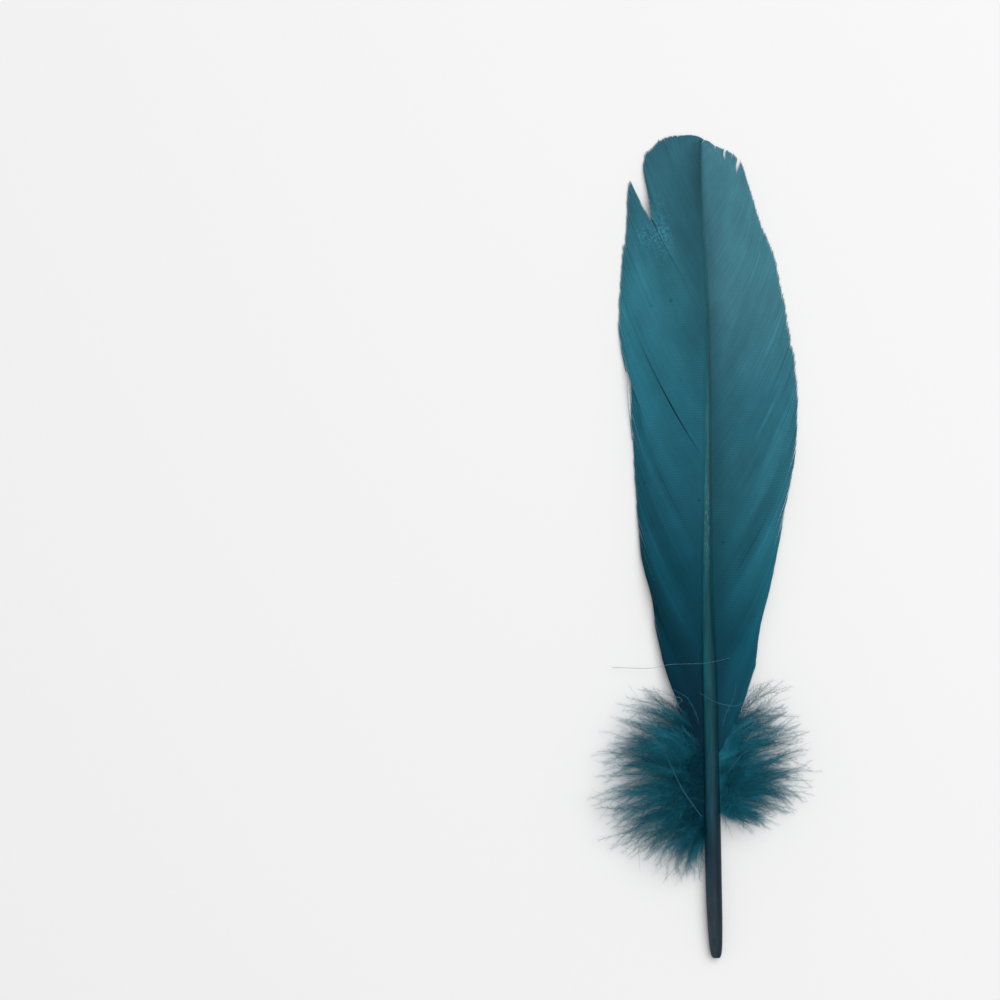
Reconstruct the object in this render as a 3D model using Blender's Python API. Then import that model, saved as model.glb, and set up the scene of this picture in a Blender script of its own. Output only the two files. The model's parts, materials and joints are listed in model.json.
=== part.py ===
# One goose quill feather, lying on a table with its outer side up.
#
# A feather grows as one piece, so it is one solid: the round quill runs on as a tapering shaft, a thin
# vane of locked barbs stands on each side of the shaft, and loose downy locks grow round its lower end.
#
# Y runs along the feather from the quill's end to the tip, Z is up, and the origin is on the table under
# the middle of the box that the feather fills. A station is a distance along the feather from the quill's
# end, and a side is -1 for the left vane and +1 for the right one.

import math

import bmesh
import bpy
from mathutils import Vector

MM = 0.001

# Driving dimensions, in metres
LENGTH = 180 * MM
SHAFT_TIP = 178.5 * MM
SHAFT_X = 1.6 * MM  # the left down reaches further, so the shaft stands right of the box's middle
QUILL_ROUNDING = 3 * MM  # how long the quill's rounded end is
QUILL_RINGS = (9 * MM, 14 * MM, 18.5 * MM, 23.5 * MM)  # the bare quill past its rounded end
VANE_ROOT = 45 * MM
BARB_PITCH = 4.6 * MM
VANE_HALF_THICKNESS = (0.18 * MM, 0.12 * MM)  # at the shaft, and at the vane's edge
DOWN_ROOT = (28.2 * MM, 45 * MM)
DOWN_PITCH = 1.05 * MM
DOWN_BARE = {-1: 0, 1: 4}  # the pitches at the low end of that stretch that carry no lock on this side
DOWN_REACH = {-1: 28.8 * MM, 1: 26.2 * MM}

# Smooth curves along the feather, as (station, value) in millimetres
SHAFT_RADIUS = (
    (0, 0.8), (0.6, 1.1), (1.5, 1.28), (3, 1.45), (12, 1.74), (24, 1.8), (38, 1.68), (50, 1.58),
    (62, 1.4), (75, 1.12), (94, 0.82), (115, 0.6), (140, 0.44), (165, 0.32), (178.5, 0.24),
)
SIDE_BOW = (
    (0, 1.2), (4, 1.03), (12, 0.72), (24, 0.42), (45, 0), (64, -0.6), (82, -1.1), (96, -1.05), (115, -0.9),
    (136, -0.78), (148, -1.15), (159, -1.75), (172, -2.1), (178.5, -2.2),
)
# The line between the two vanes' outer edges, from which the barbs' reach is measured
VANE_MIDDLE = ((45, 0.4), (88, -0.5), (112, -0.1), (135, 0.2), (160, -0.7), (178.5, -1.1))
UNDERSIDE = ((0, 0), (14, 0), (40, 1.2), (70, 3), (100, 4.2), (130, 4), (155, 2.5), (178.5, 0.1))
EDGE_HEIGHT = ((45, 1.9), (60, 0.8), (76, 0.12), (178.5, 0.12))

# Where the barbs of each side part: the root station, and the share of their length that stays together
SPLITS = {-1: ((140, 0.75),), 1: ()}
# How far the barbs reach to the side, one curve for each stretch between those splits
BARB_REACH = {
    -1: (
        ((45, 10.6), (50, 12), (57, 14.1), (66, 15.6), (80, 17.1), (91, 17.8), (98, 20.2), (104, 20),
         (112, 19.2), (125, 17.8), (140, 15.6)),
        ((140, 11.4), (146, 13.6), (152, 12.5), (161.5, 9), (169, 5.5), (178.5, 0.6)),
    ),
    1: (
        ((45, 10.2), (52, 12), (61, 15.9), (75, 18.8), (85, 18.9), (104, 17), (123, 14.7), (140, 12.1),
         (156, 9), (166, 5.6), (174, 2.4), (178.5, 0.6)),
    ),
}
BARB_ADVANCE = 1.96  # how far a barb's tip lies ahead of its root, as a share of its reach
BARB_ELBOW = (0.66, 0.95)  # where it bends, sideways as a share of its span and ahead of its reach
BARB_ARCH = 0.04  # how far the bend stands above the root, as a share of its reach
BARB_STEPS = 8

# The faces of the shaft at its sides, above them and below them
FACE_BESIDE = {1: 11, -1: 5}
FACE_ABOVE = {1: 0, -1: 4}
FACE_BELOW = {1: 10, -1: 6}
# The three layers of down: the faces that each grows from, its share of the reach, and the heights of its
# middle and of its tips above the table
DOWN_LAYERS = (
    {"faces": FACE_BESIDE, "share": 1.0, "middle": 4.4 * MM, "tip": 3.6 * MM},
    {"faces": FACE_ABOVE, "share": 0.76, "middle": 9.2 * MM, "tip": 9.6 * MM},
    {"faces": FACE_BELOW, "share": 0.9, "middle": 0.9 * MM, "tip": 0.5 * MM},
)
# The headings of each side's lowest and highest locks, from +Y, and how much sooner than evenly they change
DOWN_HEADING = {-1: (math.radians(140), math.radians(42)), 1: (math.radians(106), math.radians(42))}
DOWN_TURN = 1.5
DOWN_CURL = math.radians(18)  # how far a lock turns away from the tip on its way out
DOWN_OUTERMOST = 0.72  # the length of the lowest and the highest locks, as a share of the middle ones
DOWN_UNEVENNESS = 0.26  # how much shorter a lock can be than its layer's longest, as a share
DOWN_RIPPLE = 2.4  # how quickly that changes from lock to lock, in radians
# The sections of a lock: the share of its length, its width and its thickness
LOCK_SECTIONS = (
    (0.12, 1.3 * MM, 0.7 * MM),
    (0.34, 2.1 * MM, 0.6 * MM),
    (0.6, 2.1 * MM, 0.5 * MM),
    (0.83, 1.4 * MM, 0.36 * MM),
    (1.0, 0.3 * MM, 0.16 * MM),
)

# The points of a ring round the shaft, from its right side over the top. The two pairs at the sides lie a
# vane's thickness apart. A face has the number of its first point.
RING_ANGLES = tuple(math.radians(a) for a in (0, 45, 75, 105, 135, 180, 180, 225, 255, 285, 315, 360))
VANE_POINTS = {1: (0, 11), -1: (5, 6)}  # the upper and lower points that each vane grows from
VANE_LEDGE = 0.5  # the most that those points stand above and below the middle, as a share of the radius
BOTTOM = math.sin(RING_ANGLES[9])  # the height of the ring's flat underside, as a share of the radius
SAME_STATION = MM / 100


def along(points, station):
    """The value at a station of the smooth curve through (station, value) points, both in millimetres."""
    at = min(max(station / MM, points[0][0]), points[-1][0])
    i = max(k for k in range(len(points) - 1) if points[k][0] <= at)
    (a, value_a), (b, value_b) = points[i], points[i + 1]

    def slope(k):
        if k == 0 or k == len(points) - 1:
            return (value_b - value_a) / (b - a)
        before = (points[k][1] - points[k - 1][1]) / (points[k][0] - points[k - 1][0])
        after = (points[k + 1][1] - points[k][1]) / (points[k + 1][0] - points[k][0])
        return 2 * before * after / (before + after) if before * after > 0 else 0

    t = (at - a) / (b - a)
    return MM * (
        (2 * t**3 - 3 * t**2 + 1) * value_a
        + (3 * t**2 - 2 * t**3) * value_b
        + (b - a) * ((t**3 - 2 * t**2 + t) * slope(i) + (t**3 - t**2) * slope(i + 1))
    )


def shaft_axis(station):
    """The middle of the shaft at a station. Its underside follows UNDERSIDE, apart from the rounded end."""
    held = max(station, QUILL_ROUNDING)
    height = along(UNDERSIDE, held) - BOTTOM * along(SHAFT_RADIUS, held)
    return Vector((SHAFT_X + along(SIDE_BOW, station), station - LENGTH / 2, height))


def ring(station):
    """The points round the shaft at a station, from the right side over the top."""
    radius = along(SHAFT_RADIUS, station)
    ledge = math.asin(min(VANE_HALF_THICKNESS[0] / radius, VANE_LEDGE))
    leans = {0: ledge, 5: -ledge, 6: ledge, 11: -ledge}
    points = []
    for k, angle in enumerate(RING_ANGLES):
        turned = angle + leans.get(k, 0)
        points.append(shaft_axis(station) + radius * Vector((math.cos(turned), 0, math.sin(turned))))
    return points


def bend(start, elbow, end, share):
    """A point of the plain curve that leaves start towards elbow and arrives at end."""
    return start.lerp(elbow, share).lerp(elbow.lerp(end, share), share)


def barb(side, root, stretch):
    """The middle line of the barb with this root station, as a list of points from the shaft outwards."""
    reach = along(BARB_REACH[side][stretch], root)
    radius = along(SHAFT_RADIUS, root)
    start = shaft_axis(root) + Vector((side * radius, 0, 0))
    tip_station = root + BARB_ADVANCE * reach
    end = Vector((SHAFT_X + along(VANE_MIDDLE, tip_station) + side * reach, tip_station - LENGTH / 2, 0))
    end.z = along(EDGE_HEIGHT, root)
    elbow = start + reach * Vector((0, BARB_ELBOW[1], BARB_ARCH))
    elbow.x += (end.x - start.x) * BARB_ELBOW[0]
    return [bend(start, elbow, end, step / BARB_STEPS) for step in range(BARB_STEPS + 1)]


def parted(line, neighbour, together):
    """The barb line where it lies on its neighbour for a share of its length and then leaves it."""
    points = []
    for step, (own, other) in enumerate(zip(line, neighbour)):
        share = max(0, (step / BARB_STEPS - together) / (1 - together))
        points.append(other.lerp(own, math.sqrt(share)))
    return points


def stations():
    """The stations of the shaft's rings: the rounded end, the downy stretch and every vane row."""
    found = [point[0] * MM for point in SHAFT_RADIUS[:4]]
    found += QUILL_RINGS
    steps = round((DOWN_ROOT[1] - DOWN_ROOT[0]) / DOWN_PITCH)
    found += [DOWN_ROOT[0] + step * DOWN_PITCH for step in range(steps)]
    held = sorted({VANE_ROOT, SHAFT_TIP} | {at * MM for side in SPLITS for at, _ in SPLITS[side]})
    for low, high in zip(held, held[1:]):
        count = math.ceil((high - low) / BARB_PITCH)
        found += [low + (high - low) * n / count for n in range(count)]
    return found + [SHAFT_TIP]


def add_shaft(bm, levels, grown):
    """The rings and faces of quill and shaft. Something grows on the faces in grown, so they are left out."""
    rings = [[bm.verts.new(point) for point in ring(level)] for level in levels]
    count = len(RING_ANGLES)
    for i in range(len(levels) - 1):
        for k in range(count):
            if (i, k) not in grown:
                ahead = (k + 1) % count
                bm.faces.new((rings[i][k], rings[i][ahead], rings[i + 1][ahead], rings[i + 1][k]))
    bm.faces.new(rings[0][::-1])
    bm.faces.new(rings[-1])
    return rings


def vane_rows(side, levels, first):
    """The barb lines of one vane from the lowest up, as (ring index, stretch, points). A station where the
    vane parts has two of them."""
    rows = []
    stretch = 0
    for i in range(first, len(levels)):
        line = barb(side, levels[i], stretch)
        for at, together in SPLITS[side]:
            if abs(levels[i] - at * MM) < SAME_STATION:
                upper = barb(side, levels[i], stretch + 1)
                rows.append((i, stretch, parted(line, upper, together)))
                stretch += 1
                line = upper
        rows.append((i, stretch, line))
    return rows


def add_vane(bm, side, rows, rings):
    """One vane as a closed plate on the shaft: its outer and inner face, and a rim wherever it ends."""
    upper, lower = VANE_POINTS[side]
    made = {}

    def pair(i, point, step):
        """The plate's upper and lower corner at a point, made once."""
        if step == 0:
            return rings[i][upper], rings[i][lower]
        key = tuple(round(c / MM, 4) for c in point)
        if key not in made:
            share = step / BARB_STEPS
            half = VANE_HALF_THICKNESS[0] * (1 - share) + VANE_HALF_THICKNESS[1] * share
            made[key] = tuple(bm.verts.new(point + Vector((0, 0, up * half))) for up in (1, -1))
        return made[key]

    edges = {}
    for (i, stretch, line), (i_next, stretch_next, line_next) in zip(rows, rows[1:]):
        if stretch != stretch_next:
            continue
        for step in range(BARB_STEPS):
            corners = [
                pair(i, line[step], step),
                pair(i, line[step + 1], step + 1),
                pair(i_next, line_next[step + 1], step + 1),
                pair(i_next, line_next[step], step),
            ]
            if side < 0:
                corners.reverse()
            for half in (corners[:3], [corners[0]] + corners[2:]):
                bm.faces.new([top for top, _ in half])
                bm.faces.new([bottom for _, bottom in half[::-1]])
            for a, b in zip(corners, corners[1:] + corners[:1]):
                edges[a, b] = True
    at_root = {(r[upper], r[lower]) for r in rings}
    for a, b in edges:
        if (b, a) not in edges and not (a in at_root and b in at_root):
            bm.faces.new((a[0], a[1], b[1], b[0]))


def downy_locks(levels):
    """Each downy lock as (ring index, face, side, layer, share of the way up its side's downy stretch)."""
    first = levels.index(DOWN_ROOT[0])
    count = round((DOWN_ROOT[1] - DOWN_ROOT[0]) / DOWN_PITCH)
    locks = []
    for number, layer in enumerate(DOWN_LAYERS):
        for step in range(min(number, 1), count, 2):
            for side, face in layer["faces"].items():
                bare = DOWN_BARE[side]
                if step >= bare:
                    rise = (step - bare) / (count - 1 - bare)
                    locks.append((first + step, face, side, layer, rise))
    return locks


def lock_path(start, side, layer, rise, number):
    """The point that a lock's middle line bends at, and its end."""
    uneven = 1 - DOWN_UNEVENNESS * (1 + math.cos(DOWN_RIPPLE * number)) / 2
    fullness = DOWN_OUTERMOST + (1 - DOWN_OUTERMOST) * math.sin(math.pi * rise)
    length = DOWN_REACH[side] * layer["share"] * uneven * fullness
    lowest, highest = DOWN_HEADING[side]
    heading = highest + (lowest - highest) * (1 - rise) ** DOWN_TURN
    out = Vector((side * math.sin(heading), math.cos(heading), 0))
    turned = Vector((side * math.sin(heading + DOWN_CURL), math.cos(heading + DOWN_CURL), 0))
    elbow = start + out * length / 2
    elbow.z = layer["middle"]
    end = start + out * length / 2 + turned * length / 2
    end.z = layer["tip"]
    return elbow, end


def add_lock(bm, corners, side, elbow, end):
    """A tapering lock that grows out of a face of the shaft. corners are the face's, as (near the quill's
    end or the tip, lower or upper)."""
    start = sum((vert.co for vert in corners.values()), Vector()) / 4
    slant = abs((elbow - start).to_2d().normalized().x)  # slanting locks stand closer together
    last = corners
    order = ((0, 0), (0, 1), (1, 1), (1, 0))
    for share, width, thickness in LOCK_SECTIONS:
        middle = bend(start, elbow, end, share)
        heading = (elbow - start).lerp(end - elbow, share)
        across = Vector((-side * heading.y, side * heading.x, 0)).normalized()
        section = {}
        for ahead, up in order:
            offset = across * (ahead - 0.5) * width * slant + Vector((0, 0, (up - 0.5) * thickness))
            section[ahead, up] = bm.verts.new(middle + offset)
        for a, b in zip(order, order[1:] + order[:1]):
            face = [last[a], last[b], section[b], section[a]]
            bm.faces.new(face if side < 0 else face[::-1])
        last = section
    cap = [last[corner] for corner in order]
    bm.faces.new(cap if side < 0 else cap[::-1])


def add_down(bm, locks, rings):
    """Every downy lock, grown out of its own face of the shaft."""
    for number, (i, face, side, layer, rise) in enumerate(locks):
        ends = sorted((face, (face + 1) % len(RING_ANGLES)), key=lambda k: rings[i][k].co.z)
        corners = {(ahead, up): rings[i + ahead][ends[up]] for ahead in (0, 1) for up in (0, 1)}
        start = sum((vert.co for vert in corners.values()), Vector()) / 4
        elbow, end = lock_path(start, side, layer, rise, number)
        add_lock(bm, corners, side, elbow, end)


def dyed_keratin(name, color, roughness):
    """The material of one stretch of the feather."""
    material = bpy.data.materials.new(name)
    material.use_nodes = True
    shader = material.node_tree.nodes["Principled BSDF"]
    shader.inputs["Base Color"].default_value = (*color, 1)
    shader.inputs["Roughness"].default_value = roughness
    shader.inputs["Metallic"].default_value = 0.0
    return material


def give_material(feather, bm, finished, material):
    """Gives the material to every face but the first finished ones, and returns how many faces there are."""
    feather.data.materials.append(material)
    for face in list(bm.faces)[finished:]:
        face.material_index = len(feather.data.materials) - 1
    return len(bm.faces)


def build_feather():
    """The whole feather as one closed solid."""
    levels = stations()
    first_row = min(i for i, level in enumerate(levels) if level > VANE_ROOT - SAME_STATION)
    locks = downy_locks(levels)
    grown = {(i, face) for i, face, *_ in locks}
    grown |= {(i, FACE_BESIDE[side]) for side in (-1, 1) for i in range(first_row, len(levels) - 1)}

    feather = bpy.data.objects.new("feather", bpy.data.meshes.new("feather"))
    bpy.context.scene.collection.objects.link(feather)
    bm = bmesh.new()
    rings = add_shaft(bm, levels, grown)
    finished = give_material(feather, bm, 0, dyed_keratin("quill", (0.012, 0.03, 0.045), 0.35))
    for side in (-1, 1):
        add_vane(bm, side, vane_rows(side, levels, first_row), rings)
    finished = give_material(feather, bm, finished, dyed_keratin("vane", (0.035, 0.17, 0.21), 0.6))
    add_down(bm, locks, rings)
    give_material(feather, bm, finished, dyed_keratin("down", (0.01, 0.11, 0.19), 0.8))
    bmesh.ops.recalc_face_normals(bm, faces=bm.faces)
    bmesh.ops.triangulate(bm, faces=bm.faces)
    bm.to_mesh(feather.data)
    bm.free()
    feather.data.shade_smooth()
    feather.data.set_sharp_from_angle(angle=math.radians(40))


for left_over in list(bpy.data.objects):
    bpy.data.objects.remove(left_over)
build_feather()
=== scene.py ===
import json
import math

import bmesh
import bpy
import numpy as np
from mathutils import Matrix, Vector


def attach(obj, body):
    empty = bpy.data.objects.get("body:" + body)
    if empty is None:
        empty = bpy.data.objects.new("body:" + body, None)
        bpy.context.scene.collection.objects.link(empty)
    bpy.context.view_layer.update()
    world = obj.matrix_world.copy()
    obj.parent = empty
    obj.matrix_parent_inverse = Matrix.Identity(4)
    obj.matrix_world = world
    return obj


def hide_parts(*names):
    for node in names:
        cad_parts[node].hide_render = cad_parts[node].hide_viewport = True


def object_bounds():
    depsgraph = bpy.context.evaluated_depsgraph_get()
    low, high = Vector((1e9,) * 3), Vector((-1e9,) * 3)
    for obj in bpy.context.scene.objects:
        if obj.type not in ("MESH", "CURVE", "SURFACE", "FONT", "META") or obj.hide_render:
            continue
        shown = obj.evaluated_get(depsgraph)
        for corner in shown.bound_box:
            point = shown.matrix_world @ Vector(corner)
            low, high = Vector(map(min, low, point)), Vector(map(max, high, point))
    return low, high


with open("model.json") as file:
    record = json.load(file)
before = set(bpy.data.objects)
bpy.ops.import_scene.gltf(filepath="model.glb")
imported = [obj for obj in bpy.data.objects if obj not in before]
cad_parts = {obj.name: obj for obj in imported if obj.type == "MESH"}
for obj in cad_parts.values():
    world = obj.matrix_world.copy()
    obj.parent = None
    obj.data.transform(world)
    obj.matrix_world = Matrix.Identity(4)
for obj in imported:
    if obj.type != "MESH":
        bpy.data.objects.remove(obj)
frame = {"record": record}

cad_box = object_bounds()

# ---------------------------------------------------------------------------------------------------------
# Quill and shaft. One horn: a hollow round quill that was pulled from the skin, closed and blunt at its end,
# runs on as a pith-filled shaft that thins to a hair at the tip. It is squarer past the down, with a groove
# along its underside. The dye leaves the quill nearly black and the shaft a paler grey green.
MM = 0.001
QUILL_END = cad_box[0].y  # the station 0; stations run towards the tip
SHAFT_TIP = 178.5
SHAFT_RADIUS = (
    (0, 0.8), (0.6, 1.1), (1.5, 1.28), (3, 1.45), (12, 1.74), (24, 1.8), (38, 1.68), (50, 1.58),
    (62, 1.4), (75, 1.12), (94, 0.82), (115, 0.6), (140, 0.44), (165, 0.32), (178.5, 0.24),
)
SIDE_BOW = (
    (0, 1.2), (4, 1.03), (12, 0.72), (24, 0.42), (45, 0), (64, -0.6), (82, -1.1), (96, -1.05), (115, -0.9),
    (136, -0.78), (148, -1.15), (159, -1.75), (172, -2.1), (178.5, -2.2),
)
UNDERSIDE = ((0, 0), (14, 0), (40, 1.2), (70, 3), (100, 4.2), (130, 4), (155, 2.5), (178.5, 0.1))
QUILL_ROUNDING = 3  # the blunt end is rounded up to this station
END_STATIONS = (0, 0.12, 0.3, 0.6, 1, 1.5, 2.2)
# The pit in its end, ring by ring inwards: the size against the ring before, and how much deeper it lies
QUILL_MOUTH = ((0.675, 0), (0.525, 0.1), (0.375, 0.55), (0.3, 1.1))
FLAT_FROM = math.radians(75)  # the angle below the section's middle at which the flat underside begins
SHAFT_SIDES = 32
SHAFT_STEP = 0.7
SQUARE_FROM, SQUARE_BY = 42, 75  # the stations between which the round quill becomes a square shaft
SQUARENESS = 0.74
SHAFT_FLATNESS = 0.82
GROOVE = (0.34, 0.4)  # its depth as a share of the radius, and its half width in radians
FLUTES = (11, 0.012, 0.05)  # fine ridges round the quill: how many, how high, and their turn a millimetre


def along(points, station):
    """The value at a station of the smooth curve through (station, value) points."""
    at = min(max(station, points[0][0]), points[-1][0])
    i = max(k for k in range(len(points) - 1) if points[k][0] <= at)
    (a, value_a), (b, value_b) = points[i], points[i + 1]

    def slope(k):
        if k == 0 or k == len(points) - 1:
            return (value_b - value_a) / (b - a)
        before = (points[k][1] - points[k - 1][1]) / (points[k][0] - points[k - 1][0])
        after = (points[k + 1][1] - points[k][1]) / (points[k + 1][0] - points[k][0])
        return 2 * before * after / (before + after) if before * after > 0 else 0

    t = (at - a) / (b - a)
    return (
        (2 * t**3 - 3 * t**2 + 1) * value_a
        + (3 * t**2 - 2 * t**3) * value_b
        + (b - a) * ((t**3 - 2 * t**2 + t) * slope(i) + (t**3 - t**2) * slope(i + 1))
    )


def eased(low, high, value):
    """0 below low, 1 above high, and a smooth rise between them."""
    t = np.clip((value - low) / (high - low), 0, 1)
    return t * t * (3 - 2 * t)


rest = frame["record"]["mounts"][0]["pos_m"]
SHAFT_X = rest[0] / MM - along(SIDE_BOW, (rest[1] - QUILL_END) / MM)


def shaft_axis(station):
    """The middle of the shaft at a station, in millimetres, with y as the station."""
    held = max(station, QUILL_ROUNDING)
    height = along(UNDERSIDE, held) + math.sin(FLAT_FROM) * along(SHAFT_RADIUS, held)
    return np.array((SHAFT_X + along(SIDE_BOW, station), station, height))


def in_place(points):
    """Points in millimetres, with y as the station, as places in the frame, in metres."""
    return np.asarray(points) * MM + (0, QUILL_END, 0)


def shaft_ring(station):
    """The points round the shaft at a station."""
    radius = along(SHAFT_RADIUS, station)
    square = eased(SQUARE_FROM, SQUARE_BY, station)
    angles = np.linspace(0, 2 * math.pi, SHAFT_SIDES, endpoint=False)
    power = 1 + (SQUARENESS - 1) * square
    across = np.sign(np.cos(angles)) * np.abs(np.cos(angles)) ** power
    up = np.sign(np.sin(angles)) * np.abs(np.sin(angles)) ** power
    up = np.where(up > 0, up * (1 + (SHAFT_FLATNESS - 1) * square), up)
    depth, width = GROOVE
    below = np.exp(-(((angles - 1.5 * math.pi) / width) ** 2))
    up = up + depth * square * below
    count, ridge, turn = FLUTES
    flutes = 1 + ridge * (1 - square) * np.sin(count * angles + turn * station)
    points = np.stack([across * flutes, np.zeros(SHAFT_SIDES), up * flutes], 1) * radius
    points += shaft_axis(station)
    points[:, 2] = np.maximum(points[:, 2], 0)
    return points


def node(tree, kind, inputs=None, **settings):
    """A new node of a tree, with its settings, and its inputs linked or set by name or number."""
    made = tree.nodes.new(kind)
    for name, value in settings.items():
        setattr(made, name, value)
    for name, value in (inputs or {}).items():
        socket = made.inputs[name]
        if isinstance(value, bpy.types.NodeSocket):
            tree.links.new(value, socket)
        else:
            socket.default_value = value
    return made


def math_node(tree, operation, *numbers):
    """A sum on numbers or sockets."""
    return node(tree, "ShaderNodeMath", dict(enumerate(numbers)), operation=operation).outputs[0]


def ranged(tree, factor, low, high, least, most):
    """A number that goes from least to most while the factor goes from low to high."""
    return node(tree, "ShaderNodeMapRange", {0: factor, 1: low, 2: high, 3: least, 4: most}).outputs[0]


def scaled(tree, color, gain):
    """The colour times a number."""
    return node(tree, "ShaderNodeVectorMath", {0: color, "Scale": gain}, operation="SCALE").outputs[0]


def uv_parts(tree):
    """A piece's map, and its two numbers."""
    uv = node(tree, "ShaderNodeUVMap", uv_map="OFBake").outputs[0]
    return uv, node(tree, "ShaderNodeSeparateXYZ", {0: uv}).outputs


def ramp(tree, factor, stops):
    """A colour ramp on a factor, with (place, colour) stops."""
    made = node(tree, "ShaderNodeValToRGB", {"Fac": factor})
    elements = made.color_ramp.elements
    while len(elements) < len(stops):
        elements.new(0.5)
    for element, (place, color) in zip(elements, stops):
        element.position = place
        element.color = (*color, 1)
    return made.outputs["Color"]


def new_material(name, roughness, specular):
    """A material and its shader, with the values that are the same all over."""
    material = bpy.data.materials.new(name)
    material.use_nodes = True
    shader = material.node_tree.nodes["Principled BSDF"]
    shader.inputs["Roughness"].default_value = roughness
    shader.inputs["Specular IOR Level"].default_value = specular
    return material, shader


def place_along(tree):
    """The share of the feather's length at which a point lies, from 0 at the quill's end to 1 at the tip."""
    place = node(tree, "ShaderNodeTexCoord").outputs["Object"]
    y = node(tree, "ShaderNodeSeparateXYZ", {0: place}).outputs["Y"]
    return ranged(tree, y, cad_box[0].y, cad_box[1].y, 0, 1)


def streaks(tree, place, scale, detail=3.0):
    """Noise between 0 and 1 on a place stretched by scale."""
    stretched = node(tree, "ShaderNodeMapping", {"Vector": place, "Scale": scale}).outputs[0]
    return node(tree, "ShaderNodeTexNoise", {"Vector": stretched, "Scale": 1.0, "Detail": detail}).outputs[0]


def lightened(tree, color, factor, least, most):
    """The colour times a number that goes from least to most with a noise."""
    return scaled(tree, color, ranged(tree, factor, 0.25, 0.75, least, most))


def bumped(tree, shader, height, distance, strength):
    """Gives the shader the bumps of a height."""
    bump = node(tree, "ShaderNodeBump", {"Height": height, "Distance": distance, "Strength": strength})
    tree.links.new(bump.outputs[0], shader.inputs["Normal"])


WORN_HORN = (0.12, 0.24, 0.23, 1)  # the pale horn where the dye is scratched off


def horn_material():
    """Dyed horn: nearly black at the quill's end, grey green along the shaft, finely streaked lengthwise,
    with a painted highlight down its left side and painted shade down its right.
    """
    material, shader = new_material("horn_dye_and_painted_side_light", 0.36, 0.08)
    tree = material.node_tree
    color = ramp(tree, place_along(tree), (
        (0.0, (0.023, 0.038, 0.050)),
        (0.07, (0.021, 0.035, 0.047)),
        (0.12, (0.013, 0.030, 0.048)),
        (0.17, (0.009, 0.042, 0.062)),
        (0.23, (0.008, 0.056, 0.080)),
        (0.29, (0.006, 0.054, 0.070)),
        (0.35, (0.006, 0.066, 0.086)),
        (0.40, (0.004, 0.056, 0.070)),
        (0.46, (0.005, 0.064, 0.084)),
        (0.52, (0.014, 0.094, 0.116)),
        (0.65, (0.016, 0.100, 0.118)),
        (0.75, (0.006, 0.070, 0.088)),
        (0.86, (0.008, 0.078, 0.096)),
        (1.0, (0.012, 0.086, 0.106)),
    ))
    parts = uv_parts(tree)[1]
    # Painted light and shade: by the turn round the shaft, the left side is painted pale as a highlight and
    # the right side dark as shade
    pale = ramp(tree, parts[0], (
        (0.05, (0.7,) * 3), (0.19, (0.72,) * 3), (0.27, (1.15,) * 3), (0.37, (1.5,) * 3), (0.46, (1.2,) * 3),
    ))
    color = node(tree, "ShaderNodeVectorMath", {0: color, 1: pale}, operation="MULTIPLY").outputs[0]
    place = node(tree, "ShaderNodeTexCoord").outputs["Object"]
    grain = streaks(tree, place, (5200, 110, 5200))
    blotches = streaks(tree, place, (420, 160, 420))
    color = lightened(tree, lightened(tree, color, grain, 0.7, 1.34), blotches, 0.84, 1.16)
    scratches = ranged(tree, streaks(tree, place, (3800, 900, 3800)), 0.55, 0.68, 0, 1)
    worn = ramp(tree, place_along(tree), (
        (0.46, (0,) * 3), (0.50, (0.55,) * 3), (0.55, (0.4,) * 3), (0.62, (0.1,) * 3), (0.8, (0,) * 3),
    ))
    worn = math_node(tree, "MULTIPLY", worn, scratches)
    color = node(tree, "ShaderNodeMix", {0: worn, 6: color, 7: WORN_HORN}, data_type="RGBA").outputs[2]
    tree.links.new(color, shader.inputs["Base Color"])
    tree.links.new(ranged(tree, blotches, 0, 1, 0.28, 0.5), shader.inputs["Roughness"])
    bumped(tree, shader, grain, 0.00004, 0.5)
    return material


def build_shaft():
    """The shaft's skin from the pit in the quill's end to the tip."""
    bm = bmesh.new()
    count = round((SHAFT_TIP - QUILL_ROUNDING) / SHAFT_STEP)
    stations = [*END_STATIONS, *np.linspace(QUILL_ROUNDING, SHAFT_TIP, count)]
    rings = [in_place(shaft_ring(station)) for station in stations]
    end = in_place([shaft_axis(0)])[0]
    for size, deeper in QUILL_MOUTH:
        pit = end + (rings[0] - end) * size
        rings.insert(0, pit + (0, deeper * MM, 0))
        if deeper == 0:
            rings[0][:, 1] = end[1]
    grown = [[bm.verts.new(point) for point in ring] for ring in rings]
    for ring, after in zip(grown, grown[1:]):
        for k in range(SHAFT_SIDES):
            ahead = (k + 1) % SHAFT_SIDES
            bm.faces.new((ring[k], ring[ahead], after[ahead], after[k]))
    bm.faces.new(grown[0])
    bm.faces.new(grown[-1])
    bmesh.ops.recalc_face_normals(bm, faces=bm.faces)
    around = bm.loops.layers.uv.new("OFBake")
    turn = {corner: k / SHAFT_SIDES for ring in grown for k, corner in enumerate(ring)}
    for face in bm.faces:
        crosses = {turn[corner] for corner in face.verts} >= {0, (SHAFT_SIDES - 1) / SHAFT_SIDES}
        for loop in face.loops:
            at = turn[loop.vert] + (crosses and turn[loop.vert] == 0 and len(face.verts) == 4)
            loop[around].uv = (at, (loop.vert.co.y - QUILL_END) / (SHAFT_TIP * MM))
    mesh = bpy.data.meshes.new("shaft")
    bm.to_mesh(mesh)
    bm.free()
    mesh.shade_smooth()
    mesh.materials.append(horn_material())
    shaft = bpy.data.objects.new("shaft", mesh)
    bpy.context.scene.collection.objects.link(shaft)
    return shaft


shaft = build_shaft()
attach(shaft, "root")
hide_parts("feather")

# ---------------------------------------------------------------------------------------------------------
# The two vanes. Each is a row of barbs, thin ribs that grow from the shaft side by side, lean towards the tip
# and hook into one another, so that they hold together as a sheet. Here and there they have come unhooked:
# the vane then parts along a barb, in a slit, an open notch or a frayed edge.
VANE_ROOT = 45
BARB_PITCH = 0.56
BARB_STEPS = 34
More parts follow.
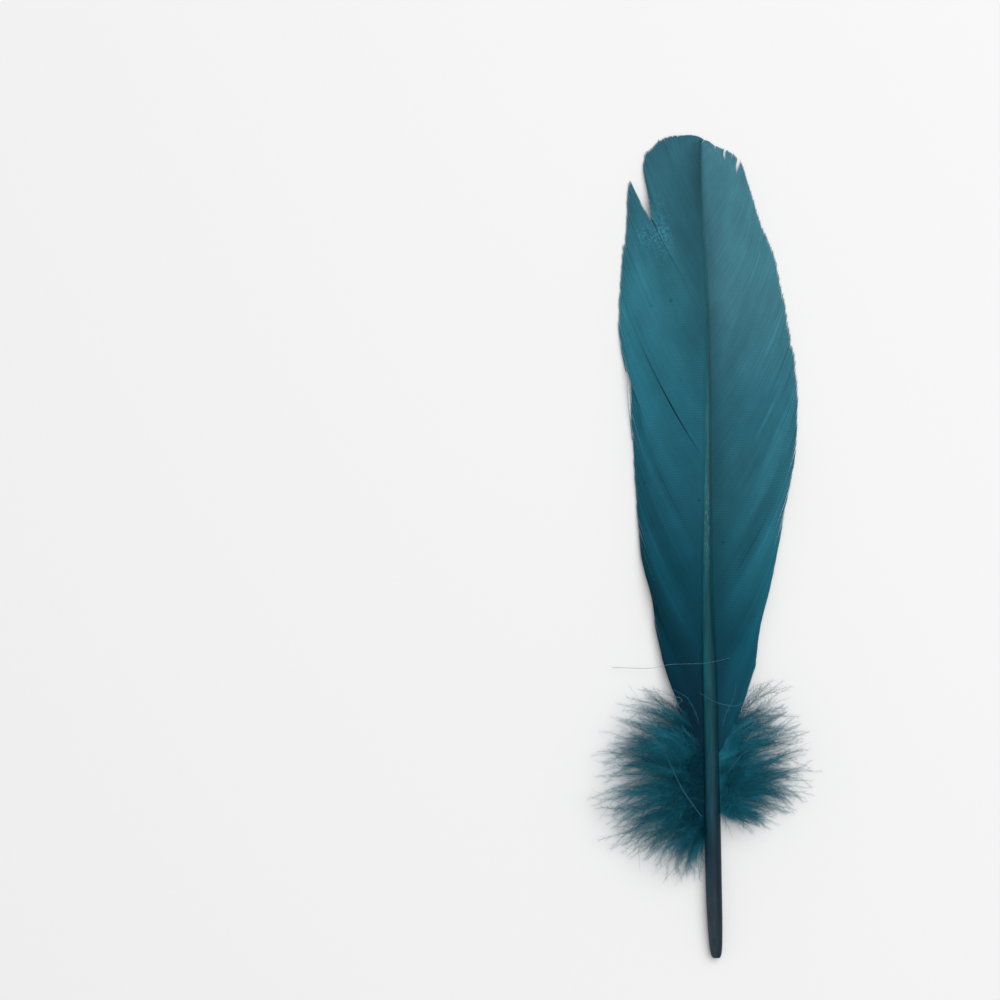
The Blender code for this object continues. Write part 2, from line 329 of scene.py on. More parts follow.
# A barb bends over an elbow. As shares of its reach: how far out and forward the elbow lies, how far forward
# the tip lies, and how high it arches
BARB_ELBOW = (0.68, 0.95)
BARB_ADVANCE = 1.96
BARB_ARCH = 0.04
BARB_SUNK = (0.3, 0.4)  # how deep its root is sunk in the shaft, inwards and down
BARB_CLEAR = 0.04  # how far its root stands over the shaft's shoulder
EDGE_HEIGHT = ((45, 1.9), (60, 0.8), (76, 0.16), (178.5, 0.16))
# The line between the two vanes' outer edges, and how far the barbs reach from it
VANE_MIDDLE = ((45, 0.4), (88, -0.5), (112, -0.1), (135, 0.2), (160, -0.7), (178.5, -1.1))
BARB_REACH = {
    -1: (
        ((45, 10.6), (50, 12.0), (53.5, 12.4), (55.5, 13.2), (57.6, 14.4), (61.8, 15.1), (72, 16.3),
         (80, 17.4), (88, 18.4), (94, 19.85), (98.9, 20.4), (107, 19.7), (125, 17.8), (132, 17), (140, 15.5)),
        ((140, 11.4), (143, 12.9), (146, 13.8), (149, 13.5), (152.5, 12.3), (161.5, 9.1), (168, 6),
         (176, 1.8), (178.5, 0.1)),
    ),
    1: (
        ((45, 10), (50, 11), (52.3, 12), (54.5, 13.4), (58.5, 15), (62, 16.1), (66, 16.9), (70.6, 18.2),
         (76.3, 18.9), (84, 18.9), (94, 18.3), (101, 17.4), (110, 16.3), (122, 14.8), (132, 13.2),
         (141, 11.9), (149, 10.4), (156.5, 8.9), (160, 7.8), (164.6, 6), (167.2, 4.9), (171, 3.3),
         (175, 1.8), (178.5, 0.1)),
    ),
}
NOTCH_ROOT = {-1: 140, 1: 999}  # where the left vane is open to its edge; the right one never is
NOTCH_SHORT = 4  # the short barbs above the notch take up this much of the shaft
NOTCH_SHARE = 0.7  # the length of the barbs just above it, as a share of those just below it
NOTCH_FADE = 2.5  # the barbs above it come back to their own lines within about this far
LEAN = (126, 140, 1.3)  # the barbs between these roots, below the notch, lean outwards by so much
# On the left the wide barbs overhang those below: the first wide one's root, how much shorter the barbs
# below it are, how far down that fades, and the share of their length from which they draw in
OVERHANG = (93.2, 1.9, 7, 0.66)
# The slits: the root station, the shares of the barbs' length where it begins and ends, its half width,
# how far along the shaft the barbs make room for it, how much its lower side is lifted, and how much painted
# shade darkens the barb beside it.
# It opens within the first of these shares of its length and closes within the second
SLIT_ENDS = (0.6, 0.35)
SLITS = {
    -1: (
        (108.4, 0.10, 0.78, 0.03, 1.2, 0.18, 0.5),
        (108.4, -0.04, 0.52, 0.0, 1.0, 0.0, 0.75),
        (87.9, 0.08, 0.62, 0.0, 1.5, 0.08, 0.34),
        (99.5, 0.62, 0.9, 0.0, 1.5, 0.06, 0.2),
        (92.9, 0.84, 1.2, 0.03, 1.0, 0.12, 0.3),
        (140.2, 0.12, 0.95, 0.0, 2.0, 0.16, 0.55),
        (62.0, 0.35, 1.1, 0.03, 2.0, 0.14, 0.25),
        (74.0, 0.45, 1.1, 0.03, 2.0, 0.12, 0.25),
        (121.0, 0.72, 1.2, 0.015, 1.2, 0.08, 0.2),
        (151.5, 0.78, 1.2, 0.05, 1.0, 0.05, 0.15),
        (161.0, 0.7, 1.2, 0.05, 1.0, 0.05, 0.15),
    ),
    1: (
        (58.0, 0.45, 1.2, 0.02, 2.0, 0.15, 0.35),
        (76.5, 0.14, 0.62, 0.0, 1.5, 0.08, 0.3),
        (69.0, 0.62, 1.2, 0.02, 1.5, 0.12, 0.25),
        (79.0, 0.70, 1.2, 0.015, 1.3, 0.10, 0.25),
        (88.0, 0.62, 1.2, 0.02, 1.3, 0.14, 0.3),
        (95.0, 0.66, 1.2, 0.015, 1.2, 0.12, 0.3),
        (101.0, 0.55, 1.0, 0.01, 1.2, 0.10, 0.3),
        (113.0, 0.74, 1.2, 0.01, 1.2, 0.08, 0.2),
        (132.0, 0.80, 1.2, 0.015, 1.0, 0.06, 0.2),
        (157.6, 0.80, 1.2, 0.36, 1.4, 0.15, 0.1),
        (165.6, 0.74, 1.2, 0.30, 1.2, 0.12, 0.1),
        (161.8, 0.86, 1.2, 0.10, 0.8, 0.06, 0.1),
        (170.5, 0.7, 1.2, 0.10, 0.8, 0.06, 0.1),
    ),
}
# Barbs that catch the light, or lie in a fold's shade: the middle one's root, the shares where it begins and
# ends, how far along the shaft it fades, and how much lighter or darker they are
GLINTS = {
    -1: ((70.5, 0.45, 0.95, 0.5, 0.25), (66.0, 0.2, 0.7, 0.5, 0.2), (84.0, 0.75, 1.0, 0.5, 0.3),
         (88.5, 0.8, 1.0, 0.5, 0.35), (95.0, 0.86, 1.1, 0.5, 0.4), (118.0, 0.3, 0.5, 0.5, 0.12),
         (131.0, 0.6, 0.9, 0.5, 0.15), (85.2, 0.15, 0.8, 1.8, 0.2), (78.0, 0.35, 0.9, 1.4, -0.14),
         (124.0, 0.62, 0.95, 3.0, 0.1), (150.0, 0.1, 0.6, 3.0, -0.06)),
    1: ((97.7, 0.46, 0.7, 0.5, 0.35), (103.4, 0.58, 0.76, 0.5, 0.22), (90.0, 0.62, 0.8, 0.5, 0.25),
        (111.0, 0.66, 0.95, 0.5, 0.18), (62.5, 0.3, 0.8, 0.5, 0.2), (72.0, 0.5, 0.95, 0.5, 0.2),
        (140.0, 0.2, 0.6, 0.5, 0.1), (126.0, 0.7, 1.0, 0.5, 0.15), (72.5, 0.1, 0.6, 1.8, 0.2),
        (80.5, 0.2, 0.75, 1.6, -0.14), (88.0, 0.5, 1.1, 2.0, 0.16), (118.0, 0.25, 0.6, 3.0, 0.08)),
}
# The frayed patches by the notch: x and station of their middles, half their width and length, and how frayed
RUFFLED = ((-11.3, 158.0, 3.2, 2.4, 0.9), (-9.3, 157.4, 1.9, 4.2, 1.0), (-9.8, 164.0, 1.2, 3.0, 0.45))
RIB = ((0.1, -0.4), (1.25, 0.0), (0.05, 0.34), (-1.3, -0.3))  # a barb's section, in half pitches
# Half the width of the shaft that shows between the two vanes
BARE_SHAFT = (
    (45, 1.5), (54, 1.45), (64, 1.22), (72, 0.98), (80, 0.76), (88, 0.6), (96, 0.47), (104, 0.38),
    (127, 0.32), (137, 0.2), (150, 0.15), (178.5, 0.1),
)
BARB_WIDTH = (0.05, 0.7)  # the least and the most that a barb is made, to meet the next one
BARB_TAPER = (1.012, 0.045, 0.25)  # the share where it would end, how fast it narrows before, and to what
# LOOSE_TONE paints the loose barbs paler, partly as a painted highlight along the edge of the lock by the
# notch
LOOSE_GIRTH, LOOSE_TONE = 0.06, 1.5
# Barbs that have come loose along the left edge, each as (x, station, height) points
LOOSE_BARBS = (
    ((-15.5, 113.1, 0.5), (-16.3, 119.6, 0.7), (-16.7, 124.5, 0.8), (-16.4, 127.2, 0.7)),
    ((-15.4, 116.3, 0.5), (-16.0, 122.9, 0.7), (-16.2, 128.0, 0.6)),
    ((-16.9, 128.0, 0.5), (-18.2, 134.0, 0.6), (-18.9, 139.5, 0.5)),
    ((-13.6, 96.0, 0.6), (-14.9, 103.0, 0.8), (-15.4, 109.0, 0.6)),
    ((-9.6, 72.0, 1.3), (-11.0, 82.0, 1.7), (-12.4, 92.0, 1.6), (-13.8, 101.0, 1.2), (-14.9, 107.5, 0.9)),
    ((-9.0, 76.0, 1.6), (-10.3, 84.0, 1.9), (-11.9, 93.0, 1.8), (-12.9, 99.0, 1.6)),
)
# Painted light and shade of soft folds along the barbs of the lower vane, as bands in the colour: spacing,
# strength, and the roots between which they fade
PAINTED_FOLD_BANDS = (2.3, 0.16, 67, 107)
VANE_WAVES = ((0.34, 4.1, 1.1), (0.22, 9.7, -0.6))  # of the sheet: height, length, and shift on each side
# The barbs hold together in locks: the least and the most they take up, how many, their tilt and their reach
LOCK_WIDTHS = (2.2, 7.5)
LOCK_COUNT = 60
LOCK_TILT = 0.12
LOCK_STRETCH = 0.009
BARB_UNEVEN = (0.004, 0.006)  # how each barb differs in reach and in height
SHAKEN = (0.02, 0.02, 0.08)  # how far the frayed barbs wander, across, along and up
VANE_FLOOR = 0.13


def barb_lines(side):
    """A vane's barbs: their roots, the shares along each, their points in millimetres, and the dice."""
    rng = np.random.default_rng(7 + side)
    roots = np.arange(VANE_ROOT, SHAFT_TIP - BARB_PITCH, BARB_PITCH)
    share = np.linspace(0, 1, BARB_STEPS + 1)[:, None]

    def line(root, stretch):
        reach = along(BARB_REACH[side][stretch], root)
        radius = along(SHAFT_RADIUS, root)
        bare = min(along(BARE_SHAFT, root), 0.9 * radius)
        shoulder = SHAFT_FLATNESS * (1 - (bare / radius) ** (2 / SQUARENESS)) ** (SQUARENESS / 2)
        start = shaft_axis(root) + (side * bare, 0, shoulder * radius + BARB_CLEAR)
        tip = root + BARB_ADVANCE * reach
        end = np.array((SHAFT_X + along(VANE_MIDDLE, tip) + side * reach, tip, along(EDGE_HEIGHT, root)))
        out, forward = BARB_ELBOW
        elbow = start + ((end[0] - start[0]) * out, reach * forward, reach * BARB_ARCH)
        curve = (1 - share) ** 2 * start + 2 * share * (1 - share) * elbow + share**2 * end
        curve[0] -= (side * BARB_SUNK[0] * bare, 0, BARB_SUNK[1] * radius)
        return curve

    notch = NOTCH_ROOT[side]
    lines = np.array([line(root, int(root > notch)) for root in roots])
    lean = LEAN[2] * eased(LEAN[0], LEAN[1], roots) * (roots <= notch)
    lines[..., 0] -= lean[:, None] * eased(0.9 * NOTCH_SHARE, 1, share[:, 0])
    if notch < SHAFT_TIP:
        own = line(notch, 0)
        steps = share[:, 0] * NOTCH_SHARE
        beside = np.stack([np.interp(steps, share[:, 0], own[:, k]) for k in range(3)], 1)
        above = np.where(roots > notch, np.exp((notch + BARB_PITCH / 2 - roots) / NOTCH_FADE), 0)
        lines += above[:, None, None] * (beside - line(notch + 0.01, 1))
        first, shorter, fades, begins = OVERHANG
        drawn_in = np.where(roots < first, shorter * np.exp((roots - first) / fades), 0)
        lines[..., 0] += drawn_in[:, None] * eased(begins, 1, share[:, 0])
    return roots, share[:, 0], lines, rng


def opened(side, roots, share, lines):
    """The lines with their slits open, and at each point the painted shade of the slits and the painted light
    and shade of the glints.
    """
    tone = np.ones(lines.shape[:2])
    tangent = np.gradient(lines, axis=1)
    tangent /= np.linalg.norm(tangent, axis=2, keepdims=True)
    inward = np.stack([-side * tangent[..., 1], side * tangent[..., 0], 0 * tangent[..., 0]], 2)
    shorter = (roots > NOTCH_ROOT[side]) & (roots < NOTCH_ROOT[side] + NOTCH_SHORT)
    out = share[None, :] * np.where(shorter, NOTCH_SHARE, 1)[:, None]
    opens, closes = SLIT_ENDS
    for root, begins, ends, half_width, room, lift, dark in SLITS[side]:
        opening = eased(begins, begins + opens * (min(ends, 1) - begins), out)
        if ends < 1:
            opening = opening * (1 - eased(ends - closes * (ends - begins), ends, out))
        behind = roots < root
        near = np.exp(-np.abs(roots - root) / room)
        amount = np.where(behind, -near, near)[:, None] * opening * half_width
        lines = lines + amount[..., None] * inward
        lines[..., 2] += np.where(behind, near, 0)[:, None] * opening * lift
        # Painted shade: the barb beside each slit or closed crease is darkened
        beside = roots == roots[np.argmin(np.abs(roots - root - 0.1))]
        tone *= 1 - dark * beside[:, None] * opening
    for root, begins, ends, fades, light in GLINTS[side]:
        near = np.exp(-(((roots - root) / fades) ** 2))
        middle, half = (begins + ends) / 2, (ends - begins) / 2
        tone *= 1 + light * near[:, None] * np.exp(-(((share - middle) / half) ** 4))[None, :]
    return lines, tone


def ruffled(lines):
    """How frayed each point of the lines is, from 0 to 1."""
    frayed = np.zeros(lines.shape[:2])
    for x, station, width, length, most in RUFFLED:
        off = ((lines[..., 0] - x) / width) ** 2 + ((lines[..., 1] - station) / length) ** 2
        frayed = np.maximum(frayed, most * np.exp(-off))
    return frayed


def settled(side, roots, share, lines, rng):
    """The lines with the vane's waves, the tilt of its locks, and each barb's own unevenness."""
    middle = share * (1 - share) * 4
    wave = sum(height * np.sin(roots / length + shift * side) for height, length, shift in VANE_WAVES)
    lines[..., 2] += wave[:, None] * middle[None, :]
    edges = np.cumsum(rng.uniform(*LOCK_WIDTHS, LOCK_COUNT)) + VANE_ROOT
    lock = np.searchsorted(edges, roots)
    tilt = rng.uniform(-LOCK_TILT, LOCK_TILT, LOCK_COUNT + 1)[lock]
    starts = np.concatenate([[VANE_ROOT], edges])[lock]
    within = (roots - starts) / np.diff(np.concatenate([[VANE_ROOT], edges, [999]]))[lock] - 0.5
    lines[..., 2] += (tilt * within)[:, None] * share[None, :] ** 1.5 * 1.6
    longer, higher = BARB_UNEVEN
    stretch = rng.normal(0, longer, len(roots))
    stretch = stretch + rng.uniform(-LOCK_STRETCH, LOCK_STRETCH, LOCK_COUNT + 1)[lock]
    lines += stretch[:, None, None] * (lines - lines[:, :1]) * share[None, :, None] ** 2
    lines[..., 2] += rng.normal(0, higher, len(roots))[:, None] * share[None, :]
    shake = rng.normal(0, 1, lines.shape)
    shake = (shake + np.roll(shake, 1, 1)) / 2
    lines = lines + ruffled(lines)[..., None] * shake * SHAKEN
    lines[..., 2] = np.maximum(lines[..., 2], VANE_FLOOR)
    return lines


def guide(name, lines, values):
    """An object of loose edges along the lines, with a number of each name at every point."""
    count, steps = lines.shape[:2]
    first = np.arange(count)[:, None] * steps + np.arange(steps - 1)[None, :]
    mesh = bpy.data.meshes.new(name)
    edges = np.stack([first, first + 1], 2).reshape(-1, 2)
    mesh.from_pydata(in_place(lines.reshape(-1, 3)).tolist(), edges.tolist(), [])
    for key, numbers in values.items():
        stored = mesh.attributes.new(key, "FLOAT", "POINT")
        stored.data.foreach_set("value", np.broadcast_to(numbers, lines.shape[:2]).ravel().astype(np.float32))
    piece = bpy.data.objects.new(name, mesh)
    bpy.context.scene.collection.objects.link(piece)
    return piece


def named(tree, name, kind="FLOAT"):
    """The number of a name at each point."""
    made = node(tree, "GeometryNodeInputNamedAttribute", {"Name": name}, data_type=kind)
    return made.outputs["Attribute"]


def new_tree(name, sizes):
    """A tree of geometry nodes with an input of each name and size, and a material."""
    tree = bpy.data.node_groups.new(name, "GeometryNodeTree")
    tree.interface.new_socket("Geometry", in_out="INPUT", socket_type="NodeSocketGeometry")
    for key, size in sizes.items():
        socket = tree.interface.new_socket(key, in_out="INPUT", socket_type="NodeSocketFloat")
        socket.default_value = size
    tree.interface.new_socket("Material", in_out="INPUT", socket_type="NodeSocketMaterial")
    tree.interface.new_socket("Geometry", in_out="OUTPUT", socket_type="NodeSocketGeometry")
    return tree, tree.nodes.new("NodeGroupInput").outputs


def mapped(tree, geometry, across):
    """The geometry with its map: the share of the strand's length, and the strand's place and side."""
    row = math_node(tree, "MULTIPLY", across, named(tree, "row_height"))
    row = math_node(tree, "ADD", row, named(tree, "row"))
    place = node(tree, "ShaderNodeCombineXYZ", {0: named(tree, "share"), 1: row}).outputs[0]
    return node(tree, "GeometryNodeStoreNamedAttribute", {
        "Geometry": geometry, "Name": "OFBake", "Value": place,
    }, data_type="FLOAT2", domain="CORNER").outputs[0]


def finish_tree(tree, inputs, geometry):
    """Ends a tree with real geometry of the one material."""
    real = node(tree, "GeometryNodeRealizeInstances", {0: geometry}).outputs[0]
    painted = node(tree, "GeometryNodeSetMaterial", {"Geometry": real, "Material": inputs["Material"]})
    flat = node(tree, "GeometryNodeSetShadeSmooth", {"Geometry": painted.outputs[0], "Shade Smooth": False})
    node(tree, "NodeGroupOutput", {0: flat.outputs[0]})
    return tree


RIB_SIZES = {"Rib width": 1.0, "Rib height": 1.0}


def barb_tree():
    """Ribs along the edges: roof-shaped strips, each as wide as its girth says."""
    tree, inputs = new_tree("barbs", RIB_SIZES)
    curve = node(tree, "GeometryNodeMeshToCurve", {0: inputs["Geometry"]}).outputs[0]
    curve = node(tree, "GeometryNodeSetCurveNormal", {0: curve}, mode="Z_UP").outputs[0]
    section = node(tree, "GeometryNodeCurvePrimitiveQuadrilateral", mode="POINTS")
    for k, (x, y) in enumerate(RIB):
        x = math_node(tree, "MULTIPLY", inputs["Rib width"], x)
        y = math_node(tree, "MULTIPLY", inputs["Rib height"], y)
        corner = node(tree, "ShaderNodeCombineXYZ", {0: x, 1: y})
        tree.links.new(corner.outputs[0], section.inputs["Point %d" % (k + 1)])
    across = node(tree, "GeometryNodeSplineParameter").outputs["Factor"]
    captured = node(tree, "GeometryNodeCaptureAttribute", domain="POINT")
    captured.capture_items.new("FLOAT", "Across")
    tree.links.new(section.outputs[0], captured.inputs["Geometry"])
    tree.links.new(across, captured.inputs["Across"])
    strip = node(tree, "GeometryNodeCurveToMesh", {
        "Curve": curve, "Profile Curve": captured.outputs["Geometry"], "Scale": named(tree, "girth"),
        "Fill Caps": True,
    })
    return finish_tree(tree, inputs, mapped(tree, strip.outputs[0], captured.outputs["Across"]))


def grown(piece, tree, material, sizes):
    """The plain mesh that a tree makes of a piece's edges, in their place."""
    modifier = piece.modifiers.new(tree.name, "NODES")
    modifier.node_group = tree
    sockets = {item.name: item.identifier for item in tree.interface.items_tree if item.in_out == "INPUT"}
    modifier[sockets["Material"]] = material
    for name, size in sizes.items():
        modifier[sockets[name]] = size
    evaluated = piece.evaluated_get(bpy.context.evaluated_depsgraph_get())
    mesh = bpy.data.meshes.new_from_object(evaluated)
    piece.modifiers.remove(modifier)
    bare = piece.data
    piece.data = mesh
    mesh.name = piece.name
    bpy.data.meshes.remove(bare)
    return piece


# The vane's colour from the quill towards the tip, deeper at the quill as the dye goes, with the right vane
# lighter than the left partly as painted light and the left vane's lowest stop darker as painted shade; and
# its share beside the shaft and at the edge, first for the lower vane and then for the upper, darker beside
# the shaft partly as painted shade
VANE_COLORS = {
    -1: ((0.30, (0.001, 0.022, 0.043)), (0.385, (0.001, 0.043, 0.071)), (0.47, (0.003, 0.066, 0.098)),
         (0.555, (0.011, 0.100, 0.146)), (0.677, (0.022, 0.166, 0.232)), (0.80, (0.032, 0.182, 0.242)),
         (0.92, (0.030, 0.134, 0.180)), (1.0, (0.028, 0.114, 0.155))),
    1: ((0.30, (0.006, 0.086, 0.138)), (0.385, (0.004, 0.082, 0.126)), (0.47, (0.012, 0.122, 0.172)),
        (0.555, (0.020, 0.132, 0.180)), (0.677, (0.028, 0.152, 0.206)), (0.80, (0.058, 0.212, 0.270)),
        (0.92, (0.064, 0.226, 0.288)), (1.0, (0.060, 0.200, 0.256))),
}
VANE_DYE_AND_SHADE = {-1: ((1.06, 1.18), (0.70, 1.32)), 1: ((0.74, 1.42), (0.88, 1.12))}


def vane_material(side, rows):
    """Dyed barbs: deep at the quill, paler towards the tip, and each barb a little different, with painted
    light and shade laid over the dye.
    """
    material, shader = new_material("vane_dye_and_painted_light_" + ("left" if side < 0 else "right"), 0.55, 0.05)
    tree = material.node_tree
    uv, parts = uv_parts(tree)
    out = parts[0]
    up = place_along(tree)
    color = ramp(tree, up, VANE_COLORS[side])
    low, high = (ranged(tree, out, 0.1, 0.8, *shares) for shares in VANE_DYE_AND_SHADE[side])
    rise = ranged(tree, up, 0.5, 0.75, 0, 1)
    share = node(tree, "ShaderNodeMix", {0: rise, 2: low, 3: high}, data_type="FLOAT").outputs[0]
    # The tone carries the painted shade of the slits, creases and folds and the painted highlights of the
    # glints
    tone = node(tree, "ShaderNodeAttribute", attribute_name="tone").outputs["Fac"]
    share = math_node(tree, "MULTIPLY", share, tone)
    # Painted shade: the right vane is darker just beside the shaft, where it lies in the shade of the shaft's
    # side
    if side > 0:
        share = math_node(tree, "MULTIPLY", share, ranged(tree, out, 0, 0.16, 0.76, 1))
    color = scaled(tree, color, share)
    # Painted light: each barb is painted palest along the middle of its rib as a highlight and darker at its
    # sides as shade
    across = math_node(tree, "MULTIPLY", parts[1], float(rows))
    across = math_node(tree, "PINGPONG", across, 1.0)
    across = math_node(tree, "ABSOLUTE", math_node(tree, "SUBTRACT", across, 0.5))
    color = scaled(tree, color, ranged(tree, across, 0, 0.2, 1.2, 0.74))
    barb = streaks(tree, uv, (2.0, 420, 1))
    locks = streaks(tree, uv, (3.0, 46, 1))
    place = node(tree, "ShaderNodeTexCoord").outputs["Object"]
    mottling = streaks(tree, place, (260, 160, 260))
    fibres = streaks(tree, uv, (160, 2600, 1), 2.0)
    color = lightened(tree, color, barb, 0.91, 1.09)
    color = lightened(tree, color, locks, 0.94, 1.06)
    color = lightened(tree, color, mottling, 0.92, 1.08)
    color = lightened(tree, color, fibres, 0.94, 1.06)
    barbules = math_node(tree, "SINE", math_node(tree, "MULTIPLY", out, 400.0))
    barbules = math_node(tree, "MULTIPLY", barbules, mottling)
    color = scaled(tree, color, ranged(tree, barbules, -0.5, 0.5, 0.92, 1.08))
    # The frayed patches get painted crumbs of highlight and shadow, and a few dark specks lie all over
    painted_crumb_light = streaks(tree, place, (2600, 1900, 1500), 2.0)
    frayed = node(tree, "ShaderNodeAttribute", attribute_name="ruffle").outputs["Fac"]
    uneven = ranged(tree, painted_crumb_light, 0.4, 0.64, 0.82, 1.75)
    uneven = node(tree, "ShaderNodeMix", {0: frayed, 2: 1.0, 3: uneven}, data_type="FLOAT").outputs[0]
    color = scaled(tree, color, uneven)
    specks = node(tree, "ShaderNodeTexVoronoi", {"Vector": place, "Scale": 150.0}).outputs["Distance"]
    color = scaled(tree, color, ranged(tree, specks, 0.03, 0.07, 0.6, 1))
    tree.links.new(color, shader.inputs["Base Color"])
    tree.links.new(ranged(tree, locks, 0, 1, 0.48, 0.66), shader.inputs["Roughness"])
    bumped(tree, shader, fibres, 0.00002, 0.5)
    return material


barbs = barb_tree()
for side, name in ((-1, "vane_left"), (1, "vane_right")):
    roots, share, lines, rng = barb_lines(side)
    lines, tone = opened(side, roots, share, lines)
    # Painted light and shade: bands of lighter and darker colour stand in for soft folds in the lower vane
    spacing, strength, whole, gone = PAINTED_FOLD_BANDS
    painted_fold_light = strength * (1 - eased(whole, gone, roots)) * np.sin(roots / spacing + 2.5 * side)
    tone *= 1 + painted_fold_light[:, None] * (4 * share * (1 - share))[None, :]
    lines = settled(side, roots, share, lines, rng)
    ruffle = ruffled(lines)
    direction = np.gradient(lines[..., :2], axis=1)
    direction /= np.linalg.norm(direction, axis=2, keepdims=True)
    step = np.diff(lines[..., :2], axis=0)
    apart = np.abs(step[..., 0] * direction[:-1, :, 1] - step[..., 1] * direction[:-1, :, 0])
    apart = np.concatenate([apart, apart[-1:]])
    girth = np.clip(np.minimum(apart, np.roll(apart, 1, 0)), *BARB_WIDTH) / 2
    ends, narrows, least = BARB_TAPER
    girth *= np.clip((ends - share) / narrows, least, 1)
    if side < 0:
        for points in LOOSE_BARBS:
            knots = np.linspace(0, 1, len(points))
            loose = np.stack([np.interp(share, knots, values) for values in zip(*points)], 1)
            lines = np.concatenate([lines, loose[None]])
        extra = np.ones((len(LOOSE_BARBS), len(share)))
        girth = np.concatenate([girth, LOOSE_GIRTH * extra * (1.05 - share)])
        tone = np.concatenate([tone, LOOSE_TONE * extra])
        ruffle = np.concatenate([ruffle, 0 * extra])
    row = (np.arange(len(lines)) + 0.1) / len(lines)
    vane = guide(name, lines, {
        "girth": girth * MM,
        "tone": tone,
        "ruffle": ruffle,
        "share": share,
        "row": row[:, None],
        "row_height": 0.8 / len(lines),
    })
    vane = grown(vane, barbs, vane_material(side, len(lines)), RIB_SIZES)
    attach(vane, "root")
    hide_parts("feather")

# ---------------------------------------------------------------------------------------------------------
# The down. Soft barbs that grow from both sides of the quill above its bare end, without the hooks that hold
# a vane together: each is a limp thread set all round with barbules finer than hair. They cross one another
# in a loose pile, lean towards the tip near the vane and hang outwards and back near the bare quill.
DOWN_ROOT = {-1: (28, 50), 1: (32, 50)}  # the stations between which it grows on the left and the right
# The last root of each layer's threads on the left and the right, and how much of the tufts' turn they take
DOWN_LAST = {"under": (49, 49), "over": (45, 41)}
DOWN_TUFTED = {"under": 0.35, "over": 1}
DOWN_REACH = {-1: 27, 1: 24.5}
# The layers: threads per millimetre, length as a share of the reach, heights in the middle and at the tip
DOWN_LAYERS = {
    "under": ((4.8, 1.0, 3.0, 3.0), (4.1, 0.92, 1.2, 0.8), (2.8, 0.4, 1.6, 1.4)),
    "over": ((5.2, 0.98, 5.0, 4.2), (5.0, 0.82, 8.0, 8.4), (3.1, 0.42, 4.6, 5.4)),
}
# The way up the downy stretch sets a thread's heading, in degrees from the tip's direction, and its length
DOWN_HEADING = {
    -1: ((0, 150), (0.08, 136), (0.2, 112), (0.35, 90), (0.55, 72), (0.78, 58), (1, 50)),
    1: ((0, 108), (0.1, 96), (0.3, 82), (0.5, 69), (0.75, 58), (1, 50)),
}
DOWN_FULLNESS = ((0, 0.44), (0.12, 0.66), (0.4, 1), (0.75, 0.95), (1, 0.7))
DOWN_CURL = (18, 16)  # how far a thread turns back towards the quill's end, and how much that varies
DOWN_SPREAD = 8
TUFTS = (2.2, 10, 0.14, 0.9)  # the threads lie in tufts: their spacing, and how heading, length, height vary
DOWN_WAVES = ((0.7, 1.7, 17), (2.2, 4.0, 7))  # least and most waves along a thread, and their degrees
DOWN_RIPPLES = (0.5, 1.5, 3)  # how high a thread goes up and down, and the least and most times
DOWN_STEPS = 22
DOWN_FLOOR = 0.6
DOWN_CEILING = 8.6
# No thread reaches further out than this, on the left and the right. It bends along that line from the first
# of these margins inside it, and uses up no more than the second
DOWN_SIDEWAYS = (27.2, 26.6)
DOWN_MARGINS = (1.6, 1.2)
ROOT_SCATTER = 0.25
HEIGHT_SCATTER = 0.5
DOWN_SHORTEST = 0.7  # of the length that a thread could have
TUFT_TONE = 0.14
PALE_THREADS = (1.4, 0.1)  # how pale they are, and the share of the threads that they are
SINGLE_TONE = 1.5
BARE_FROM = ((1.2, 1.7), (1, 0.22))  # the paler a thread, the shorter its barbules
THREAD_GIRTH = 0.026
THREAD_TAPER = 0.75
STRAY_TONE, STRAY_GIRTH = 1.6, 1.7  # the threads paler than this are so much thicker
# Single threads: the side, the root station, the length, the heading, and the height
LONG_THREADS = (
    (-1, 30, 26, 74, 5.0), (1, 34, 24, 60, 5.0), (-1, 36, 29, 34, 4.5),
    (-1, 28, 14, 150, 1.6), (-1, 27.6, 10, 158, 1.2), (-1, 29, 16, 138, 2.2), (-1, 28.5, 9, 162, 1.8),
    (-1, 30, 17, 130, 2.6), (-1, 27.4, 12, 144, 1.0), (1, 33, 8, 130, 2.4), (1, 32, 7, 150, 1.8),
    (1, 35, 10, 118, 3.0), (1, 33.5, 6, 158, 2.2), (-1, 48, 15, 24, 5.2), (1, 48, 13, 22, 5.2),
)
# Loose threads that lie on top, as how pale they are and their (x, station, height) points
STRAYS = (
    (3.0, ((-20.0, 63.4, 1.2), (-12.5, 63.2, 2.6), (-7.0, 64.2, 4.2), (-1.0, 64.4, 5.6), (3.0, 65.0, 5.6),
           (5.6, 65.6, 4.9))),
    (2.6, ((-14.5, 58.8, 6.0), (-9.4, 57.9, 7.6), (-5.2, 57.0, 8.4), (-5.0, 56.5, 8.4), (-6.8, 55.4, 8.4),
           (-9.6, 54.5, 8.0))),
    (2.2, ((-0.6, 31.0, 3.6), (-2.9, 34.3, 6.8), (-5.1, 37.6, 8.4), (-7.7, 43.0, 8.7), (-9.4, 46.4, 8.5),
           (-13.8, 50.7, 7.8), (-18.6, 56.2, 6.6))),
    (1.8, ((3.6, 39.4, 4.6), (5.9, 42.0, 7.8), (8.5, 45.3, 8.6), (12.9, 46.6, 8.2), (17.2, 49.0, 7.0))),
    (1.8, ((-11.6, 34.3, 8.8), (-9.6, 25.6, 7.4), (-7.7, 17.9, 0.9))),
    (2.0, ((-14.7, 34.3, 8.8), (-14.5, 25.6, 7.0), (-13.8, 18.6, 0.8))),
    (1.9, ((-1.0, 58.0, 5.4), (2.6, 56.0, 6.6), (6.6, 55.2, 6.8), (10.0, 57.4, 6.0), (14.4, 60.0, 4.6))),
)


